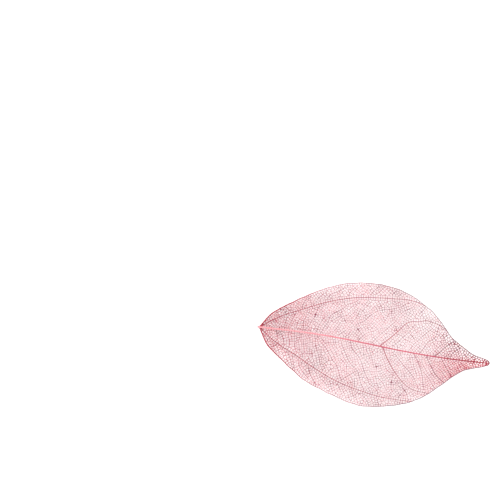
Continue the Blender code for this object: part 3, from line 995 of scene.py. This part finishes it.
class VeinSizes(bpy.types.PropertyGroup):
    """Widths of the leaf's veins."""

    row_pitch: FloatProperty(
        name="Row pitch", description="Spacing of the rows of the finest meshes",
        default=1.00 * MM, **WIDTH)
    fine_width: FloatProperty(
        name="Fine veins", description="Width of the finest veins", default=0.104 * MM, **WIDTH)
    veinlet_width: FloatProperty(
        name="Veinlets", description="Width of the veinlets inside the meshes",
        default=0.04 * MM, **WIDTH)
    cross_width: FloatProperty(
        name="Cross veins", description="Width of the cross veins", default=0.15 * MM, **WIDTH)
    cross_spacing: FloatProperty(
        name="Cross vein spacing", description="About how far the cross veins lie apart",
        default=4.8 * MM, **WIDTH)
    unevenness: FloatProperty(
        name="Unevenness", description="How far the fine veins thicken and thin, as a share",
        default=0.6, min=0, max=0.9,
    )
    tip_widening: FloatProperty(
        name="Tip widening", description="How much wider the fine veins are at the tip, as a share",
        default=1.3, min=0,
    )
    veinlet_widening: FloatProperty(
        name="Veinlet widening",
        description="How much wider they are at the base and in the red half, as a share",
        default=0.5, min=0,
    )
    side_radius: FloatProperty(
        name="Side vein radius", description="Radius of a side vein where it starts",
        default=0.155 * MM, **WIDTH)
    knot_width: FloatProperty(
        name="Knot width", description="How much wider a knot is than its vein",
        default=0.10 * MM, **WIDTH)
    knots: IntProperty(
        name="Knots", description="How many small knots the net has", default=12, min=0
    )
    seed: IntProperty(name="Seed", description="Changes how the net falls", default=7)


class DyeColours(bpy.types.PropertyGroup):
    """Colours of the dyed veins."""

    net: FloatVectorProperty(
        name="Net", description="The fine net where the dye took well",
        default=linear("92384C"), **COLOUR)
    veinlet: FloatVectorProperty(
        name="Veinlets", description="The veinlets inside the meshes",
        default=linear("F84468"), **COLOUR)
    net_pale: FloatVectorProperty(
        name="Pale net", description="The fine net where it took less",
        default=linear("C87888"), **COLOUR)
    residue: FloatVectorProperty(
        name="Residue", description="Brown tissue left on the duller veins, in specks and on knots",
        default=linear("6E4450"), **COLOUR)
    cross: FloatVectorProperty(
        name="Cross veins", description="The cross veins of the net",
        default=linear("803648"), **COLOUR)
    edge: FloatVectorProperty(
        name="Edge vein", description="The edge vein near the base, where it is reddest",
        default=linear("A41A34"), **COLOUR)
    vein: FloatVectorProperty(
        name="Side veins", description="The side veins, dusky where the dye lies thick",
        default=linear("AA384E"), **COLOUR)
    # pale partly because the woody start took less dye, and partly a painted highlight: the white
    # shine of the thick midrib painted into its colour
    midrib_base_and_sheen: FloatVectorProperty(
        name="Midrib at the base", description="The pale, woody start of the midrib",
        default=linear("F0A4AA"), **COLOUR)
    midrib: FloatVectorProperty(
        name="Midrib", description="The midrib past its pale start",
        default=linear("CA5E72"), **COLOUR)
    midrib_tip: FloatVectorProperty(
        name="Midrib at the tip", description="The end of the midrib, where the dye gathered",
        default=linear("9A182E"), **COLOUR)
    red_half: FloatVectorProperty(
        name="Red half", description="The net past the middle, on the half that took more dye",
        default=linear("AC3A54"), **COLOUR)
    tip_red: FloatVectorProperty(
        name="Red half of the tip", description="The net at the tip, on the half that took more dye",
        default=linear("AE2440"), **COLOUR)
    tip: FloatVectorProperty(
        name="Tip", description="The net at the tip, on its duller half",
        default=linear("5E1E30"), **COLOUR)
    net_glow: FloatProperty(
        name="Net lets through", description="Share of the light that the net lets through",
        default=0.3, **GLOW)
    veinlet_glow: FloatProperty(
        name="Veinlets let through", description="Share of the light that the veinlets let through",
        default=0.95, **GLOW)
    vein_glow: FloatProperty(
        name="Veins let through", description="Share of the light that the strong veins let through",
        default=0.25, **GLOW)


class StudioSettings(bpy.types.PropertyGroup):
    """The sweep, the lights and the camera."""

    floor_size: FloatProperty(
        name="Floor", description="Side of the square floor", default=4.0, unit="LENGTH"
    )
    sky: FloatProperty(
        name="Dome", description="Strength of the even light all round", default=1.70, min=0
    )
    key: FloatProperty(
        name="Softbox", description="Power of the large softbox", default=8.0, min=0, unit="POWER"
    )
    camera_height: FloatProperty(
        name="Camera height", description="How far above the leaf it hangs", default=2.0,
        unit="LENGTH",
    )


class LEAF_OT_fine_net(bpy.types.Operator):
    """Lay out the net of fine veins and cross veins and the veinlets in its meshes, bend them to
    the blade and thicken them"""

    bl_idname = "leaf.fine_net"
    bl_label = "Fine net and veinlets"

    def execute(self, context):
        sizes = context.scene.leaf_sizes
        rng = random.Random(sizes.seed)
        layout = Layout(sizes.row_pitch)
        layout.add_main_veins()
        layout.add_cross_veins(rng, sizes.cross_spacing, CROSS_RANK)
        layout.add_cross_veins(rng, SMALL_SPACING * sizes.cross_spacing, SMALL_RANK)
        sheet, meshes = net_sheet(layout, sizes, rng)
        net = thickened("fine_net", sheet, NET_THICKNESS, sheet.verts.layers.float["rank"])
        finish_piece(net, dyed_net_material(context.scene.leaf_dye))
        veinlets = thickened("veinlets", veinlet_sheet(meshes, sizes, rng),
                             VEINLET_THICKNESS)
        finish_piece(veinlets, dyed_veinlet_material(context.scene.leaf_dye))
        return {"FINISHED"}


class LEAF_OT_edge_vein(bpy.types.Operator):
    """Draw the thin vein that edges the blade, round the tip and back to the stalk"""

    bl_idname = "leaf.edge_vein"
    bl_label = "Edge vein"

    def execute(self, context):
        dye = context.scene.leaf_dye
        halves = [evenly(flat_margin(side), EDGE_STEP) for side in (1, -1)]
        flats = halves[0] + halves[1][-2::-1]
        radii = [smooth(EDGE_RADIUS, flat.x / LENGTH) for flat in flats]
        run = [(bent(set_in(flat, radius)), radius) for flat, radius in zip(flats, radii)]
        piece = tube_piece("edge_vein", [run])
        finish_piece(piece, dyed_vein_material(
            "dyed_edge_fibre", dye, dye.edge, (-30 * MM, -12 * MM, dye.net),
            (2 * MM, 14 * MM, dye.residue), (26 * MM, 40 * MM, dye.tip),
        ))
        return {"FINISHED"}


class LEAF_OT_side_veins(bpy.types.Operator):
    """Draw the basal veins, the side veins and the finer ones between them"""

    bl_idname = "leaf.side_veins"
    bl_label = "Side veins"

    def execute(self, context):
        dye = context.scene.leaf_dye
        radius = context.scene.leaf_sizes.side_radius
        runs = []
        for side in (1, -1):
            for stations in SIDE_VEINS[side]:
                start = radius * (THINNER if stations is THIN_SIDE_VEIN else 1.0)
                runs.append(vein_run(stations, side, start, SIDE_VEIN_END * start))
            for stations in BETWEEN_VEINS[side]:
                runs.append(vein_run(stations, side, *(share * radius for share in BETWEEN_RADIUS)))
        piece = tube_piece("side_veins", runs)
        finish_piece(piece, dyed_vein_material(
            "dyed_side_fibre", dye, dye.vein, (10 * MM, 30 * MM, dye.cross),
        ))
        return {"FINISHED"}


def midrib_middle(x):
    """The middle of the midrib, in the part's frame. The stalk's stub runs straight on from it."""
    point = bent(Vector((max(x, 0.0), 0.0)))
    point.x = x + BASE.x
    return point


def angle_round(middle, vert):
    """Where on a ring of the midrib a vertex stands, as an angle."""
    return math.atan2(vert.co.z - middle.z, vert.co.y - middle.y)


def in_order(verts, middle):
    return sorted(verts, key=lambda vert: angle_round(middle, vert))


class LEAF_OT_midrib(bpy.types.Operator):
    """Extrude the midrib ring by ring from the torn stalk to the tip"""

    bl_idname = "leaf.midrib"
    bl_label = "Midrib and stalk"

    def execute(self, context):
        dye = context.scene.leaf_dye
        rng = random.Random(context.scene.leaf_sizes.seed)
        bpy.ops.object.select_all(action="DESELECT")
        start = midrib_middle(-STALK_STUB)
        bpy.ops.mesh.primitive_circle_add(
            vertices=MIDRIB_SIDES, radius=1.0, fill_type="NGON", location=start,
            rotation=(0, -math.pi / 2, 0),
        )
        piece = context.object
        piece.name = piece.data.name = "midrib"
        bpy.ops.object.transform_apply(location=True, rotation=True, scale=True)
        rings = bmesh.new()
        rings.from_mesh(piece.data)
        torn = ring = in_order(rings.verts, start)
        angles = [angle_round(start, vert) for vert in ring]
        # five shallow grooves, and each line of fibres stands a little higher or lower
        grooves = [0.90 + 0.07 * math.cos(5 * a + 0.6) + rng.uniform(-0.03, 0.03) for a in angles]
        cap = rings.faces[:][0]
        for step in range(MIDRIB_RINGS + 1):
            gone = (step / MIDRIB_RINGS) ** RINGS_SPREAD
            x = -STALK_STUB + (LENGTH - MIDRIB_END + STALK_STUB) * gone
            middle = midrib_middle(x)
            radius = smooth(MIDRIB_RADIUS, x / LENGTH)
            if step:
                cap = bmesh.ops.extrude_discrete_faces(rings, faces=[cap])["faces"][0]
                ring = in_order(cap.verts, last)
            for vert, angle, groove in zip(ring, angles, grooves):
                vert.co = middle + Vector((0, math.cos(angle), math.sin(angle))) * radius * groove
            last = middle
        self.tear(rings, torn, rng)
        rings.to_mesh(piece.data)
        rings.free()
        bpy.ops.object.mode_set(mode="EDIT")
        bpy.ops.mesh.select_all(action="SELECT")
        bpy.ops.mesh.normals_make_consistent(inside=False)
        bpy.ops.object.mode_set(mode="OBJECT")
        # the midrib's pale start is partly weaker dye and partly a painted highlight, the shine of
        # the thick woody midrib
        finish_piece(piece, dyed_vein_material(
            "dyed_midrib_wood_and_sheen", dye, dye.midrib_base_and_sheen, (-36 * MM, 6 * MM, dye.midrib),
            (16 * MM, 38 * MM, dye.midrib_tip),
        ))
        return {"FINISHED"}

    def tear(self, rings, ring, rng):
        """Closes the stalk's end as it tore: uneven fibres round a hollow pith."""
        end = rings.faces.new(ring)
        lengths = [rng.random() for _ in ring]
        for i, vert in enumerate(ring):
            vert.co.x += (lengths[i] + lengths[i - 1]) / 2 * TORN_DEPTH
        pith = bmesh.ops.poke(rings, faces=[end])["verts"][0]
        pith.co.x += TORN_DEPTH


class LEAF_OT_stage(bpy.types.Operator):
    """Set out the white floor, the even dome, the softbox and the camera straight above"""

    bl_idname = "leaf.stage"
    bl_label = "Studio"

    def execute(self, context):
        studio = context.scene.leaf_studio
        below = (0, 0, -0.02 * MM)  # so that the floor shares no face with the leaf
        bpy.ops.mesh.primitive_plane_add(size=studio.floor_size, location=below)
        floor = context.object
        floor.name = "floor"
        # matt white background paper: it takes the leaf's faint shadow and glow, and has no shine
        material, _, shader = new_material("white_sweep")
        shader.inputs["Base Color"].default_value = linear("F4F3F3")
        shader.inputs["Roughness"].default_value = 0.9
        shader.inputs["Specular IOR Level"].default_value = 0.1
        floor.data.materials.append(material)

        world = bpy.data.worlds.new("studio_dome")
        world.use_nodes = True
        background = world.node_tree.nodes["Background"]
        background.inputs["Color"].default_value = (1, 1, 1, 1)
        background.inputs["Strength"].default_value = studio.sky
        context.scene.world = world

        light = bpy.data.lights.new("softbox", "AREA")
        light.shape = "DISK"
        light.size = 1.2
        light.energy = studio.key
        softbox = link_new("softbox", light)
        softbox.location = (-0.2, 0.6, 1.5)
        softbox.rotation_euler = (-softbox.location).to_track_quat("-Z", "Y").to_euler()

        context.scene.view_settings.view_transform = "Standard"
        self.hang_camera(context, studio.camera_height)
        return {"FINISHED"}

    def hang_camera(self, context, height):
        """Straight above the photograph's middle, turned so that the leaf lies as it does there."""
        across = PHOTO_TIP - PHOTO_BASE
        metres_a_pixel = LENGTH / across.length
        tilt = math.atan2(across.y, across.x)
        right = Vector((math.cos(tilt), math.sin(tilt), 0))
        up = Vector((-math.sin(tilt), math.cos(tilt), 0))
        from_base = Vector((PHOTO_SIDE / 2, PHOTO_SIDE / 2)) - PHOTO_BASE
        middle = BASE + (right * from_base.x - up * from_base.y) * metres_a_pixel

        data = bpy.data.cameras.new("camera")
        data.lens = data.sensor_width * height / (PHOTO_SIDE * metres_a_pixel)
        camera = link_new("camera", data)
        turned = Matrix((right, up, Vector((0, 0, 1)))).transposed().to_4x4()
        camera.matrix_world = Matrix.Translation(middle + Vector((0, 0, height))) @ turned
        context.scene.camera = camera


class LEAF_PT_panel(bpy.types.Panel):
    """Lists the steps that build the leaf"""

    bl_idname = "LEAF_PT_panel"
    bl_label = "Skeleton leaf"
    bl_space_type = "VIEW_3D"
    bl_region_type = "UI"
    bl_category = "Leaf"

    def draw(self, context):
        scene = context.scene
        for title, settings, steps in (
            ("Veins", scene.leaf_sizes, STEPS[:-1]),
            ("Dye", scene.leaf_dye, ()),
            ("Studio", scene.leaf_studio, STEPS[-1:]),
        ):
            box = self.layout.box()
            box.label(text=title)
            for name in settings.__annotations__:
                box.prop(settings, name)
            for step in steps:
                box.operator(step.bl_idname)


SETTINGS = {"leaf_sizes": VeinSizes, "leaf_dye": DyeColours, "leaf_studio": StudioSettings}
STEPS = (LEAF_OT_fine_net, LEAF_OT_edge_vein, LEAF_OT_side_veins, LEAF_OT_midrib, LEAF_OT_stage)


def register():
    for made in (*SETTINGS.values(), *STEPS, LEAF_PT_panel):
        bpy.utils.register_class(made)
    for name, settings in SETTINGS.items():
        setattr(bpy.types.Scene, name, PointerProperty(type=settings))


def unregister():
    for name in SETTINGS:
        delattr(bpy.types.Scene, name)
    for made in (LEAF_PT_panel, *reversed(STEPS), *reversed(SETTINGS.values())):
        bpy.utils.unregister_class(made)


def main():
    register()
    bpy.ops.leaf.fine_net()
    bpy.ops.leaf.edge_vein()
    bpy.ops.leaf.side_veins()
    bpy.ops.leaf.midrib()
    bpy.ops.leaf.stage()


if __name__ == "__main__":
    main()
